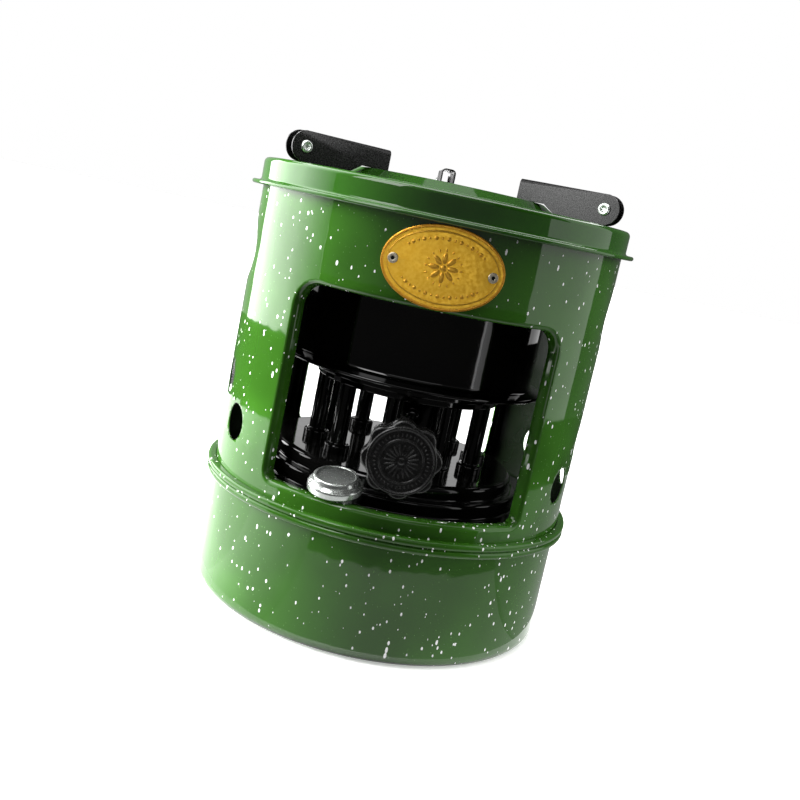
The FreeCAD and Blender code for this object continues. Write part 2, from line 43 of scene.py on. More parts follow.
bodyOf = {node: body for body, members in frame["record"]["behaviour"]["bodies"].items() for node in members}
scene = bpy.context.scene
scene.view_settings.view_transform = "Standard"  # the studio white stays white
print("frame loaded:", len(frame["nodes"]), "nodes")


def linear(hexText):
    parts = [int(hexText[i:i + 2], 16) / 255 for i in (1, 3, 5)]
    return tuple(c / 12.92 if c < 0.04045 else ((c + 0.055) / 1.055) ** 2.4 for c in parts) + (1.0,)


def addNode(owner, kind, settings=None, links=None, give=0):
    # settings with a lower-case key are properties, the rest are sockets; give picks the output
    node = owner.node_tree.nodes.new("ShaderNode" + kind)
    for key, value in (settings or {}).items():
        if isinstance(key, str) and key[0].islower():
            setattr(node, key, value)
        else:
            node.inputs[key].default_value = linear(value) if isinstance(value, str) else value
    feed(owner, node, links or {})
    return node.outputs[give]


def feed(owner, node, links):
    for key, source in links.items():
        owner.node_tree.links.new(source, node.inputs[key])


def newMaterial(name, settings):
    material = bpy.data.materials.new(name)
    material.use_nodes = True
    shader = material.node_tree.nodes["Principled BSDF"]
    for key, value in settings.items():
        shader.inputs[key].default_value = linear(value) if isinstance(value, str) else value
    return material, shader


soft = {"interpolation_type": "SMOOTHSTEP"}  # eased steps in every mask
middling = {**soft, "From Min": 0.3, "From Max": 0.7}  # the middle of a noise, spread over its whole range
colours = {"data_type": "RGBA"}

enamelLook = {
    "ground": "#316018", "groundDeep": "#295213", "mottleMm": 60, "fleck": "#ffffff", "mist": "#52803d",
    "roughness": 0.045, "orangePeelMm": 16.0, "orangePeelDepthMm": 0.12,
    "flecks": (  # turn, cell mm, drop radius mm, stretch, cluster mm, spareness
        ((0, 0.25, 0), 4.0, 0.86, 0.6, 34, 0.24), ((0.3, -0.75, 0), 6.5, 1.15, 0.42, 40, 0.33),
        ((0.2, 0.9, 0.3), 5.4, 0.95, 0.5, 46, 0.36)),
    "dust": ((0.5, 0.2, 0.4), 2.2, 0.36, 0.8, 20, 0.3), "dropEdge": 0.02, "smallest": 0.42,
}
plainLook = {"mottleMm": 45, "peelMm": 14}
paintLook = {"coat": "#050505", "dust": "#1a1a1a", "grainMm": 0.9, "speckMm": 2.2, "grainDepthMm": 0.03}
bakeliteLook = {"tone": "#070707", "cloudTone": "#0d0d0c", "cloudMm": 3.0, "grainMm": 0.7, "grainDepthMm": 0.02}
rubberLook = {"tone": "#111110", "bloom": "#232322", "bloomMm": 2.5, "depthMm": 0.05}
wickLook = {"strandMm": 0.8, "shade": "#b9a98a", "cotton": "#dccfb4", "char": "#1d1712", "charFromMm": 145.5,
            "charToMm": 152.0, "depthMm": 0.25}


def thrownDrops(material, turn, cellMm, radiusMm, stretch, clusterMm, spareness):
    # one drop a cell, each its own size, longer along the stretched way, in loose clusters
    onPiece = addNode(material, "TexCoord", give="Object")
    stretched = addNode(material, "Mapping", {"Scale": (1, 1, stretch), "Rotation": turn}, {"Vector": onPiece})
    cellSettings = {"Scale": 1 / (cellMm * mm), "Randomness": 1.0}
    distance = addNode(material, "TexVoronoi", cellSettings, {"Vector": stretched}, "Distance")
    lot = addNode(material, "TexVoronoi", cellSettings, {"Vector": stretched}, "Color")
    chance = addNode(material, "SeparateXYZ", {}, {"Vector": lot}, "X")
    size = addNode(material, "MapRange", {**soft, "From Max": 1.3, "To Min": enamelLook["smallest"]}, {"Value": chance})
    clusters = addNode(material, "TexNoise", {"Scale": 1 / (clusterMm * mm), "Detail": 1.0}, {"Vector": onPiece})
    reach = addNode(material, "MapRange", {**soft, "From Min": spareness, "From Max": spareness + 0.24,
                                           "To Min": -0.1, "To Max": radiusMm / cellMm}, {"Value": clusters})
    ownReach = addNode(material, "Math", {"operation": "MULTIPLY"}, {0: reach, 1: size})
    inside = addNode(material, "Math", {"operation": "SUBTRACT"}, {0: ownReach, 1: distance})
    return addNode(material, "MapRange", {**soft, "From Max": enamelLook["dropEdge"]}, {"Value": inside})


def speckledEnamel(look):
    # fired porcelain enamel, mottled green with thrown white flecks: hard mirror gloss, faint orange peel
    material, shader = newMaterial("speckledPorcelainEnamel", {"Roughness": look["roughness"], "IOR": 1.5})
    onPiece = addNode(material, "TexCoord", give="Object")
    clouds = addNode(material, "TexNoise", {"Scale": 1 / (look["mottleMm"] * mm), "Detail": 2.0}, {"Vector": onPiece})
    mottle = addNode(material, "MapRange", {**soft, "From Min": 0.35, "From Max": 0.65}, {"Value": clouds})
    ground = addNode(material, "Mix", {**colours, 6: look["ground"], 7: look["groundDeep"]}, {0: mottle}, 2)
    dust = thrownDrops(material, *look["dust"])
    misted = addNode(material, "Mix", {**colours, 7: look["mist"]}, {0: dust, 6: ground}, 2)
    drops = thrownDrops(material, *look["flecks"][0])
    for kind in look["flecks"][1:]:
        more = thrownDrops(material, *kind)
        drops = addNode(material, "Math", {"operation": "MAXIMUM"}, {0: drops, 1: more})
    speckled = addNode(material, "Mix", {**colours, 7: look["fleck"]}, {0: drops, 6: misted}, 2)
    peel = addNode(material, "TexNoise", {"Scale": 1 / (look["orangePeelMm"] * mm), "Detail": 1.0}, {"Vector": onPiece})
    normal = addNode(material, "Bump", {"Distance": look["orangePeelDepthMm"] * mm}, {"Height": peel})
    feed(material, shader, {"Base Color": speckled, "Normal": normal})
    return material


def plainEnamel(name, colour, deep, roughness, peelDepthMm, gloss=0.5):
    # fired enamel in one colour: wet-looking gloss over a slightly uneven coat
    material, shader = newMaterial(name, {"Roughness": roughness, "IOR": 1.5, "Specular IOR Level": gloss})
    onPiece = addNode(material, "TexCoord", give="Object")
    clouds = addNode(material, "TexNoise", {"Scale": 1 / (plainLook["mottleMm"] * mm), "Detail": 3.0},
                     {"Vector": onPiece})
    mottle = addNode(material, "MapRange", {**soft, "From Min": 0.35, "From Max": 0.65}, {"Value": clouds})
    ground = addNode(material, "Mix", {**colours, 6: colour, 7: deep}, {0: mottle}, 2)
    peel = addNode(material, "TexNoise", {"Scale": 1 / (plainLook["peelMm"] * mm), "Detail": 1.5}, {"Vector": onPiece})
    normal = addNode(material, "Bump", {"Distance": peelDepthMm * mm}, {"Height": peel})
    feed(material, shader, {"Base Color": ground, "Normal": normal})
    return material


def blackStovePaint(look):
    # stoved black paint on steel strip: low sheen, dust and small chips show pale
    material, shader = newMaterial("stovedBlackPaint", {"IOR": 1.5})
    onPiece = addNode(material, "TexCoord", give="Object")
    grain = addNode(material, "TexNoise", {"Scale": 1 / (look["grainMm"] * mm), "Detail": 3.0}, {"Vector": onPiece})
    specks = addNode(material, "TexNoise", {"Scale": 1 / (look["speckMm"] * mm), "Detail": 4.0}, {"Vector": onPiece})
    dust = addNode(material, "MapRange", {**soft, "From Min": 0.66, "From Max": 0.72}, {"Value": specks})
    coat = addNode(material, "Mix", {**colours, 6: look["coat"], 7: look["dust"]}, {0: dust}, 2)
    sheen = addNode(material, "MapRange", {**middling, "To Min": 0.24, "To Max": 0.34}, {"Value": grain})
    normal = addNode(material, "Bump", {"Distance": look["grainDepthMm"] * mm}, {"Height": grain})
    feed(material, shader, {"Base Color": coat, "Roughness": sheen, "Normal": normal})
    return material


def metalFinish(name, colour, worn, roughness, grainMm, depthMm, metallic=1.0):
    # bare or plated metal: the grain carries small changes of tone and roughness
    material, shader = newMaterial(name, {"Metallic": metallic})
    onPiece = addNode(material, "TexCoord", give="Object")
    grain = addNode(material, "TexNoise", {"Scale": 1 / (grainMm * mm), "Detail": 3.0}, {"Vector": onPiece})
    wear = addNode(material, "MapRange", middling, {"Value": grain})
    tone = addNode(material, "Mix", {**colours, 6: colour, 7: worn}, {0: wear}, 2)
    rough = addNode(material, "MapRange", {**middling, "To Min": roughness * 0.8, "To Max": roughness * 1.25},
                    {"Value": grain})
    normal = addNode(material, "Bump", {"Distance": depthMm * mm}, {"Height": grain})
    feed(material, shader, {"Base Color": tone, "Roughness": rough, "Normal": normal})
    return material


def knobBakelite(look):
    # compression-moulded bakelite: near black, soft sheen, fine mould texture
    material, shader = newMaterial("mouldedBakelite", {"IOR": 1.6})
    onPiece = addNode(material, "TexCoord", give="Object")
    cloud = addNode(material, "TexNoise", {"Scale": 1 / (look["cloudMm"] * mm), "Detail": 4.0}, {"Vector": onPiece})
    tone = addNode(material, "Mix", {**colours, 6: look["tone"], 7: look["cloudTone"]}, {0: cloud}, 2)
    sheen = addNode(material, "MapRange", {**middling, "To Min": 0.2, "To Max": 0.3}, {"Value": cloud})
    grain = addNode(material, "TexNoise", {"Scale": 1 / (look["grainMm"] * mm), "Detail": 2.0}, {"Vector": onPiece})
    normal = addNode(material, "Bump", {"Distance": look["grainDepthMm"] * mm}, {"Height": grain})
    feed(material, shader, {"Base Color": tone, "Roughness": sheen, "Normal": normal})
    return material


def nitrileRubber(look):
    # moulded rubber washer: matt, faint bloom
    material, shader = newMaterial("mouldedNitrileRubber", {"IOR": 1.52})
    onPiece = addNode(material, "TexCoord", give="Object")
    bloom = addNode(material, "TexNoise", {"Scale": 1 / (look["bloomMm"] * mm), "Detail": 3.0}, {"Vector": onPiece})
    tone = addNode(material, "Mix", {**colours, 6: look["tone"], 7: look["bloom"]}, {0: bloom}, 2)
    matt = addNode(material, "MapRange", {**middling, "To Min": 0.55, "To Max": 0.75}, {"Value": bloom})
    normal = addNode(material, "Bump", {"Distance": look["depthMm"] * mm}, {"Height": bloom})
    feed(material, shader, {"Base Color": tone, "Roughness": matt, "Normal": normal})
    return material


def braidedCotton(look):
    # braided cotton wick: slanting strands 0.8 mm apart, charred brown at the lit tip
    material, shader = newMaterial("braidedCottonWick", {"Sheen Weight": 0.4, "Roughness": 0.92})
    onPiece = addNode(material, "TexCoord", give="Object")
    scale = math.tau / (10 * math.sqrt(3) * look["strandMm"] * mm)  # diagonal bands repeat every tau / 10 of x + y + z
    strands = addNode(material, "TexWave", {"wave_type": "BANDS", "bands_direction": "DIAGONAL", "Detail": 2.0,
                                            "Scale": scale, "Distortion": 1.2}, {"Vector": onPiece}, "Fac")
    height = addNode(material, "SeparateXYZ", {}, {"Vector": onPiece}, "Z")
    char = addNode(material, "MapRange", {**soft, "From Min": look["charFromMm"] * mm,
                                          "From Max": look["charToMm"] * mm}, {"Value": height})
    woven = addNode(material, "Mix", {**colours, 6: look["shade"], 7: look["cotton"]}, {0: strands}, 2)
    tipped = addNode(material, "Mix", {**colours, 7: look["char"]}, {0: char, 6: woven}, 2)
    normal = addNode(material, "Bump", {"Distance": look["depthMm"] * mm}, {"Height": strands})
    feed(material, shader, {"Base Color": tipped, "Normal": normal})
    return material


finishes = {
    "green_enamel": speckledEnamel(enamelLook),
    "green_gloss": plainEnamel("plainPorcelainEnamel", "#2c5b17", "#255113", 0.04, 0.08),
    "black_enamel": plainEnamel("blackPorcelainEnamel", "#080808", "#0c0c0b", 0.07, 0.09),
    "black_paint": blackStovePaint(paintLook),
    "burner_steel": metalFinish("heatBluedSteel", "#4b453f", "#6b6156", 0.38, 9.0, 0.05),
    "plain_steel": metalFinish("machinedSteel", "#a5a5a2", "#8b8a87", 0.3, 0.8, 0.02),
    "zinc": metalFinish("brightZincPlate", "#d3d8d4", "#c6ccc7", 0.22, 6.0, 0.01, metallic=0.85),
    "badge_brass": metalFinish("lacqueredStampedBrass", "#f8c644", "#eeb735", 0.38, 2.0, 0.02, metallic=0.88),
    "bakelite": knobBakelite(bakeliteLook),
    "gasket_rubber": nitrileRubber(rubberLook),
    "wick_cotton": braidedCotton(wickLook),
}
paintedShadeEnamel = plainEnamel("darkEnamelAsPaintedShade", "#0a1108", "#0d160a", 0.25, 0.1, gloss=0.1)  # near-black green standing in for the shade inside the shell and in the eyelet holes: painted shade
reliefBrass = metalFinish("toolMarkedBrassRelief", "#d9a53a", "#c9962f", 0.42, 0.8, 0.02, metallic=0.8)
borderBrass = metalFinish("lacqueredBrassBorder", "#e5a63a", "#cf8f2c", 0.32, 2.0, 0.02, metallic=0.85)
nickelEyelet = metalFinish("nickelPlatedEyelet", "#c4bca8", "#a79f8d", 0.3, 0.8, 0.01, metallic=0.85)
print("finishes made:", len(bpy.data.materials))


def profileWire(corners, closed=True):  # (radius, height, bend radius) in mm, in the XZ plane
    bm = bmesh.new()
    verts = [bm.verts.new((r * mm, 0, z * mm)) for r, z, bend in corners]
    points = [v.co.copy() for v in verts]
    for a, b in zip(verts, verts[1:] + verts[:1] if closed else verts[1:]):
        bm.edges.new((a, b))
    for i, (vert, (r, z, bend)) in enumerate(zip(verts, corners)):
        if bend > 0:
            turn = (points[i] - points[i - 1]).angle(points[(i + 1) % len(points)] - points[i])
            bmesh.ops.bevel(bm, geom=[vert], offset=bend * mm * math.tan(turn / 2), offset_type="OFFSET",
                            segments=max(3, round(turn / math.radians(15))), profile=0.5, affect="VERTICES",
                            material=-1)
    return bm


def turned(corners, steps, closed=True):  # a profile spun once round Z
    bm = profileWire(corners, closed)
    bmesh.ops.spin(bm, geom=bm.verts[:] + bm.edges[:], cent=(0, 0, 0), axis=(0, 0, 1), dvec=(0, 0, 0),
                   angle=math.tau, steps=steps, use_merge=True)
    bmesh.ops.remove_doubles(bm, verts=bm.verts[:], dist=1e-6)
    bmesh.ops.recalc_face_normals(bm, faces=bm.faces[:])
    return bm


def sheetCorners(path, thickness):  # both faces of a bent sheet, the metal on the path's left
    last = len(path) - 1
    points = [Vector((r, z)) for r, z, bend in path]
    offset = []
    for i, (r, z, bend) in enumerate(path):
        ahead = (points[min(i + 1, last)] - points[min(i, last - 1)]).normalized()
        behind = (points[max(i, 1)] - points[max(i - 1, 0)]).normalized()
        left = Vector((-ahead.y, ahead.x)) + Vector((-behind.y, behind.x))
        shift = left * (thickness / (1 + ahead.dot(behind)))
        turnLeft = behind.x * ahead.y - behind.y * ahead.x > 0
        inner = 0 if bend <= 0 else (max(bend - thickness, 0) if turnLeft else bend + thickness)
        offset.append((r + shift.x, z + shift.y, inner))
    return list(path) + offset[::-1]


def finishPiece(name, bm, materials, replaced, sharpDegrees=40, extras=(), body=None):
    for face in bm.faces:
        face.smooth = True
    for edge in bm.edges:
        edge.smooth = edge.calc_face_angle(0) < math.radians(sharpDegrees)
    mesh = bpy.data.meshes.new(name)
    bm.to_mesh(mesh)
    bm.free()
    for material in materials:
        mesh.materials.append(material)
    piece = bpy.data.objects.new(name, mesh)
    scene.collection.objects.link(piece)
    for kind, settings in extras:
        modifier = piece.modifiers.new(kind.lower(), kind)
        for key, value in settings.items():
            setattr(modifier, key, value)
    weighted = piece.modifiers.new("weighted", "WEIGHTED_NORMAL")
    weighted.keep_sharp = True
    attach(piece, body or bodyOf[replaced[0]])
    if replaced:
        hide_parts(*replaced)
    return piece


def polar(radius, degrees, z=0.0):
    turn = math.radians(degrees)
    return Vector((radius * math.cos(turn), radius * math.sin(turn), z)) * mm


def moved(bm, matrix):
    bmesh.ops.transform(bm, matrix=matrix, verts=bm.verts[:])
    return bm


def takeIn(bm, part):  # adds a second bmesh to the first
    mesh = bpy.data.meshes.new("part")
    part.to_mesh(mesh)
    part.free()
    bm.from_mesh(mesh)
    bpy.data.meshes.remove(mesh)


tank = {"radius": 117.5, "baseBend": 7.0, "footRadius": 104.0, "footRise": 3.0, "flangeZ": 76.0, "flangeRadius": 120.6,
        "flangeBend": 1.2, "sheet": 1.0, "steps": 220}
tankPath = [(0, tank["footRise"], 0), (tank["footRadius"] - 3, tank["footRise"], 2), (tank["footRadius"], 0, 2),
            (tank["radius"], 0, tank["baseBend"]), (tank["radius"], tank["flangeZ"], tank["flangeBend"]),
            (tank["flangeRadius"], tank["flangeZ"], 0)]
finishPiece("tankShell", turned(sheetCorners(tankPath, tank["sheet"]), tank["steps"]), [finishes["green_enamel"]],
            ["tank_shell"])

seam = {"middle": 77.5, "half": 4.4, "radius": 122.8, "round": 1.9, "groove": 1.5, "grooveHalf": 0.6, "wall": 117.8,
        "upperWall": 118.0, "inner": 120.8, "innerLow": 74.4, "innerHigh": 79.2}
seamLow, seamHigh = seam["middle"] - seam["half"], seam["middle"] + seam["half"]
seamCorners = [
    (seam["wall"], seamLow, 0.3), (seam["radius"], seamLow, seam["round"]),
    (seam["radius"], seam["middle"] - seam["grooveHalf"], seam["round"]),
    (seam["radius"] - seam["groove"], seam["middle"], 0.25),
    (seam["radius"], seam["middle"] + seam["grooveHalf"], seam["round"]), (seam["radius"], seamHigh, seam["round"]),
    (seam["upperWall"], seamHigh, 0.3), (seam["upperWall"], seam["innerHigh"], 0),
    (seam["inner"], seam["innerHigh"], 0), (seam["inner"], seam["innerLow"], 0), (seam["wall"], seam["innerLow"], 0)]
finishPiece("doubleSeamBead", turned(seamCorners, tank["steps"]), [finishes["green_enamel"]],
            ["seam_band"])

lid = {"lipRadius": 125.0, "lipZ": 260.2, "hem": 1.3, "wall": 119.6, "top": 276.0, "edgeBend": 3.0, "sheet": 1.0,
       "mouth": 58.0, "mouthFoot": 277.0, "collar": 62.0, "collarTop": 282.0, "collarBend": 2.2, "slope": 72.0,
       "steps": 240}
lipInner, lidInner, lidUnder = lid["lipRadius"] - 2 * lid["hem"], lid["wall"] - lid["sheet"], lid["top"] - lid["sheet"]
mouthInner, collarUnder = lid["mouth"] + lid["sheet"], lid["collarTop"] - lid["sheet"]
lidCorners = [
    (lid["mouth"], lid["mouthFoot"], 0), (lid["mouth"], lid["collarTop"], lid["collarBend"]),
    (lid["collar"], lid["collarTop"], lid["collarBend"]), (lid["slope"], lid["top"], 4),
    (lid["wall"], lid["top"], lid["edgeBend"]), (lid["wall"], lid["lipZ"] + 1.5, 1.6),
    (lid["lipRadius"], lid["lipZ"] + lid["hem"], 1.29), (lid["lipRadius"], lid["lipZ"] - lid["hem"], 1.29),
    (lipInner, lid["lipZ"] - lid["hem"], 1.2), (lipInner, lid["lipZ"] + 0.3, 0), (lidInner, lid["lipZ"] + 0.5, 2.4),
    (lidInner, lidUnder, 2), (lid["slope"] - 0.4, lidUnder, 4), (lid["collar"] - 0.6, collarUnder, 1.2),
    (mouthInner, collarUnder, 1.2), (mouthInner, lid["mouthFoot"], 0)]
finishPiece("topRing", turned(lidCorners, lid["steps"]), [finishes["green_gloss"]], ["top_ring"])

tankTop = {"sheet": 1.0, "steps": 200, "path": [
    (120.6, 78, 0), (115.6, 78, 0.6), (115.6, 84, 2), (86.5, 84, 1.5), (86.5, 93.5, 2.5), (81, 93.5, 1.5),
    (81, 103, 3.5), (0, 103, 0)]}
finishPiece("tankTopPlatform", turned(sheetCorners(tankTop["path"], tankTop["sheet"]), tankTop["steps"]),
            [finishes["black_enamel"]], ["tank_top"])
print("tank, seam and top ring made")

shell = {  # a pierced flat sheet, its window edges rolled in, then bent round
    "radius": 117.7, "sheet": 1.0, "foot": 78.0, "top": 274.6, "flangeRadius": 110.0,
    "windowHalf": 41.2, "sill": 91.5, "windowTop": 211.0, "sillCorner": 6.0, "topCorner": 15.0, "edgeBend": 3.2,
    "holeRadius": 11.75, "holes": ((61.5, 113.5), (90.0, 113.5), (118.5, 113.5), (75.75, 137.0), (104.25, 137.0)),
    "gripCentre": 147.6, "gripRadius": 34.9, "gripZ": 218.0, "gripSoft": 0.9, "gripReach": 60.0, "seamAt": 130.0,
    "columns": 180, "rows": 50, "holeSegments": 40, "clear": 0.2, "mergeMm": 0.06,
}


def windowLoop(bm, centre, look):
    half = math.radians(look["windowHalf"]) * look["radius"] * mm + look["edgeBend"] * mm
    low, high = (look["sill"] - look["edgeBend"]) * mm, (look["windowTop"] + look["edgeBend"]) * mm
    verts = [bm.verts.new((centre + x, 0, z)) for x, z in ((-half, low), (half, low), (half, high), (-half, high))]
    for a, b in zip(verts, verts[1:] + verts[:1]):
        bm.edges.new((a, b))
    for pair, corner in ((verts[:2], look["sillCorner"]), (verts[2:], look["topCorner"])):
        bmesh.ops.bevel(bm, geom=pair, offset=(corner + look["edgeBend"]) * mm, offset_type="OFFSET", segments=10,
                        profile=0.5, affect="VERTICES", material=-1)
    return half + look["clear"] * mm


def rollWindowEdge(bm, centre, half, look):
    around = look["edgeBend"] + look["clear"]
    low, high = (look["sill"] - around) * mm, (look["windowTop"] + around) * mm
    rim = [e for e in bm.edges if e.is_boundary
           and all(abs(v.co.x - centre) < half and low < v.co.z < high for v in e.verts)]
    middle = Vector((centre, 0, (low + high) / 2))
    start, inward = bm.verts.layers.float_vector["start"], bm.verts.layers.float_vector["inward"]
    for vert in {v for e in rim for v in e.verts}:
        a, b = [e.other_vert(vert) for e in vert.link_edges if e in rim]
        along = (b.co - a.co).normalized()
        side = Vector((-along.z, 0, along.x))
        vert[start] = vert.co
        vert[inward] = side if side.dot(middle - vert.co) > 0 else -side
    bend = look["edgeBend"] * mm
    wallDepth = (look["radius"] - look["flangeRadius"]) * mm
    stops = [(bend * math.sin(t), bend * (1 - math.cos(t))) for t in (math.radians(15 * k) for k in range(1, 7))]
    for reach, depth in stops + [(bend, (bend + wallDepth) / 2), (bend, wallDepth)]:
        made = bmesh.ops.extrude_edge_only(bm, edges=rim)["geom"]
        for vert in (g for g in made if isinstance(g, bmesh.types.BMVert)):
            vert.co = Vector(vert[start]) + Vector(vert[inward]) * reach + Vector((0, depth, 0))
        rim = [g for g in made if isinstance(g, bmesh.types.BMEdge) and g.is_boundary]


def bendShell(bm, look):
    radius = look["radius"] * mm
    for vert in bm.verts:
        angle, r = vert.co.x / radius, radius - vert.co.y
        x, y, z = r * math.sin(angle), -r * math.cos(angle), vert.co.z
        rise = (look["gripRadius"] * mm) ** 2 - (z - look["gripZ"] * mm) ** 2
        if rise > 0 and abs(y) < look["gripReach"] * mm:  # the side walls are pressed in where a thumb goes
            limit = look["gripCentre"] * mm - math.sqrt(rise)
            soft = look["gripSoft"] * mm
            excess = max(min((abs(x) - limit) / soft, 60), -60)  # kept where exp still fits
            pressed = soft * math.log1p(math.exp(excess))
            x = math.copysign(abs(x) - pressed, x)
        vert.co = (x, y, z)


def buildShell(look):
    bm = bmesh.new()
    radius = look["radius"] * mm
    bm.verts.layers.float_vector.new("start")
    bm.verts.layers.float_vector.new("inward")
    begin, end = -math.radians(look["seamAt"]) * radius, math.radians(360 - look["seamAt"]) * radius
    corners = ((begin, look["foot"]), (end, look["foot"]), (end, look["top"]), (begin, look["top"]))
    border = [bm.verts.new((along, 0, z * mm)) for along, z in corners]
    for a, b in zip(border, border[1:] + border[:1]):
        bm.edges.new((a, b))
    centres = (0.0, math.pi * radius)
    halves = [windowLoop(bm, centre, look) for centre in centres]
    for angle, z in look["holes"]:
        for side in (-1, 1):
            place = Matrix.Translation((side * math.radians(angle) * radius, 0, z * mm))
            bmesh.ops.create_circle(bm, segments=look["holeSegments"], radius=look["holeRadius"] * mm,
                                    matrix=place @ Matrix.Rotation(math.pi / 2, 4, "X"))
    bmesh.ops.triangle_fill(bm, use_beauty=True, use_dissolve=False, edges=bm.edges[:], normal=(0, 1, 0))
    for i in range(1, look["columns"]):
        bmesh.ops.bisect_plane(bm, geom=bm.verts[:] + bm.edges[:] + bm.faces[:], dist=1e-6,
                               plane_co=(begin + (end - begin) * i / look["columns"], 0, 0), plane_no=(1, 0, 0))
    for i in range(1, look["rows"]):
        height = look["foot"] + (look["top"] - look["foot"]) * i / look["rows"]
        bmesh.ops.bisect_plane(bm, geom=bm.verts[:] + bm.edges[:] + bm.faces[:], dist=1e-6,
                               plane_co=(0, 0, height * mm), plane_no=(0, 0, 1))
    spans = [(e, e.verts[0].co - e.verts[1].co) for e in bm.edges if len(e.link_faces) == 2]
    slanted = [e for e, span in spans if min(abs(span.x), abs(span.z)) > 2e-6]
    bmesh.ops.dissolve_edges(bm, edges=slanted, use_verts=False, use_face_split=False)
    loose = [v for v in bm.verts if len(v.link_edges) == 2 and not v.is_boundary]
    bmesh.ops.dissolve_limit(bm, angle_limit=0.01, verts=loose, edges=[])
    bmesh.ops.remove_doubles(bm, verts=bm.verts[:], dist=look["mergeMm"] * mm)
    for centre, half in zip(centres, halves):
        rollWindowEdge(bm, centre, half, look)
    bendShell(bm, look)
    bmesh.ops.remove_doubles(bm, verts=bm.verts[:], dist=2e-6)
    bmesh.ops.recalc_face_normals(bm, faces=bm.faces[:])
    back = max(bm.faces, key=lambda f: f.calc_center_median().z)
    if back.normal.dot(back.calc_center_median() * Vector((1, 1, 0))) < 0:
        bmesh.ops.reverse_faces(bm, faces=bm.faces[:])
    return bm


# the inner face takes material slot 1, the near-black enamel that is painted shade
wall = ("SOLIDIFY", {"thickness": shell["sheet"] * mm, "offset": -1, "material_offset": 1})
shellPiece = finishPiece("piercedShell", buildShell(shell), [finishes["green_enamel"], paintedShadeEnamel],
                         ["shell"], extras=[wall])
print("shell made:", len(shellPiece.data.vertices), "points")

badge = {  # each ring is inset and height in mm, then its finish: raised rim, dished field, fine inner line
    "halfWidth": 34.8, "halfHeight": 23.2, "z": 235.2, "segments": 112, "petals": 8, "beads": 15, "beadStep": 7.6,
    "beadArc": (26.2, 15.6), "beadSizes": (0.7, 1.15), "relief": 0.9,
    "rings": ((0.0, 0.1, 1), (0.0, 0.95, 1), (0.25, 1.25, 1), (1.3, 1.3, 1), (1.6, 1.05, 1), (3.3, 0.85, 0),
              (3.7, 1.1, 2), (4.1, 1.1, 2), (4.5, 0.8, 0), (9.0, 0.85, 0), (15.0, 0.95, 0), (20.0, 1.0, 0)),
}


def shaped(bm, verts, matrix, index):
    bmesh.ops.transform(bm, matrix=matrix, verts=verts)
    for face in {f for v in verts for f in v.link_faces}:
        face.material_index = index


def addPetals(bm, count, inner, length, width, height, index):
    for i in range(count):
        made = bmesh.ops.create_uvsphere(bm, u_segments=14, v_segments=8, radius=1.0)["verts"]
        place = Matrix.Rotation(math.tau * i / count, 4, "Y") @ Matrix.Translation(((inner + length / 2) * mm, 0, 0))
        shaped(bm, made, place @ Matrix.Diagonal((length / 2 * mm, height * mm, width / 2 * mm, 1)), index)


def addBead(bm, x, z, size, height, index):
    made = bmesh.ops.create_icosphere(bm, subdivisions=2, radius=1.0)["verts"]
    place = Matrix.Translation((x * mm, 0, z * mm))
    shaped(bm, made, place @ Matrix.Diagonal((size * mm, height * mm, size * mm, 1)), index)


def bendToShell(bm, radius, z):
    for vert in bm.verts:
        angle = vert.co.x / (radius * mm)
        r = radius * mm - vert.co.y
        vert.co = (r * math.sin(angle), -r * math.cos(angle), vert.co.z + z * mm)


def buildBadge(look):
    bm = bmesh.new()
    first = bmesh.ops.create_circle(bm, segments=look["segments"], radius=1.0,
                                    matrix=Matrix.Rotation(math.pi / 2, 4, "X"))["verts"]
    circle, rim, half = first, bm.edges[:], (1, 1)
    for step, (inset, height, index) in enumerate(look["rings"]):
        if step:
            made = bmesh.ops.extrude_edge_only(bm, edges=rim)["geom"]
            circle = [g for g in made if isinstance(g, bmesh.types.BMVert)]
            rim = [e for e in bm.edges if all(v in set(circle) for v in e.verts)]
            for face in (g for g in made if isinstance(g, bmesh.types.BMFace)):
                face.material_index = index
        newHalf = (look["halfWidth"] - inset, look["halfHeight"] - inset)
        for vert in circle:
            turn = math.atan2(vert.co.z / half[1], vert.co.x / half[0])
            vert.co = (math.cos(turn) * newHalf[0] * mm, -height * mm, math.sin(turn) * newHalf[1] * mm)
        half = newHalf
    bmesh.ops.contextual_create(bm, geom=rim)
    bmesh.ops.contextual_create(bm, geom=[e for e in bm.edges if all(v in set(first) for v in e.verts)])
    bmesh.ops.poke(bm, faces=[f for f in bm.faces if len(f.verts) > 4])
    bmesh.ops.recalc_face_normals(bm, faces=bm.faces[:])
    return bm


def dressBadge(bm, look):
    flower = bmesh.new()
    addPetals(flower, look["petals"], 2.2, 6.2, 2.9, 0.75, 2)
    addPetals(flower, look["petals"] * 2, 8.8, 1.8, 1.0, 0.5, 2)
    addBead(flower, 0, 0, 1.8, 0.9, 2)
    for side in (-1, 1):
        for i in range(look["beads"]):  # bead arcs above and below the flower
            turn = math.radians(90 * side + (i - (look["beads"] - 1) / 2) * look["beadStep"])
            x, z = look["beadArc"][0] * math.cos(turn), look["beadArc"][1] * math.sin(turn)
            addBead(flower, x, z, look["beadSizes"][i % 2], 0.5, 2)
    takeIn(bm, moved(flower, Matrix.Translation((0, -look["relief"] * mm, 0))))
    bendToShell(bm, shell["radius"], look["z"])
    return bm


finishPiece("ovalBadge", dressBadge(buildBadge(badge), badge), [finishes["badge_brass"], borderBrass, reliefBrass],
            ["badge"], sharpDegrees=55)

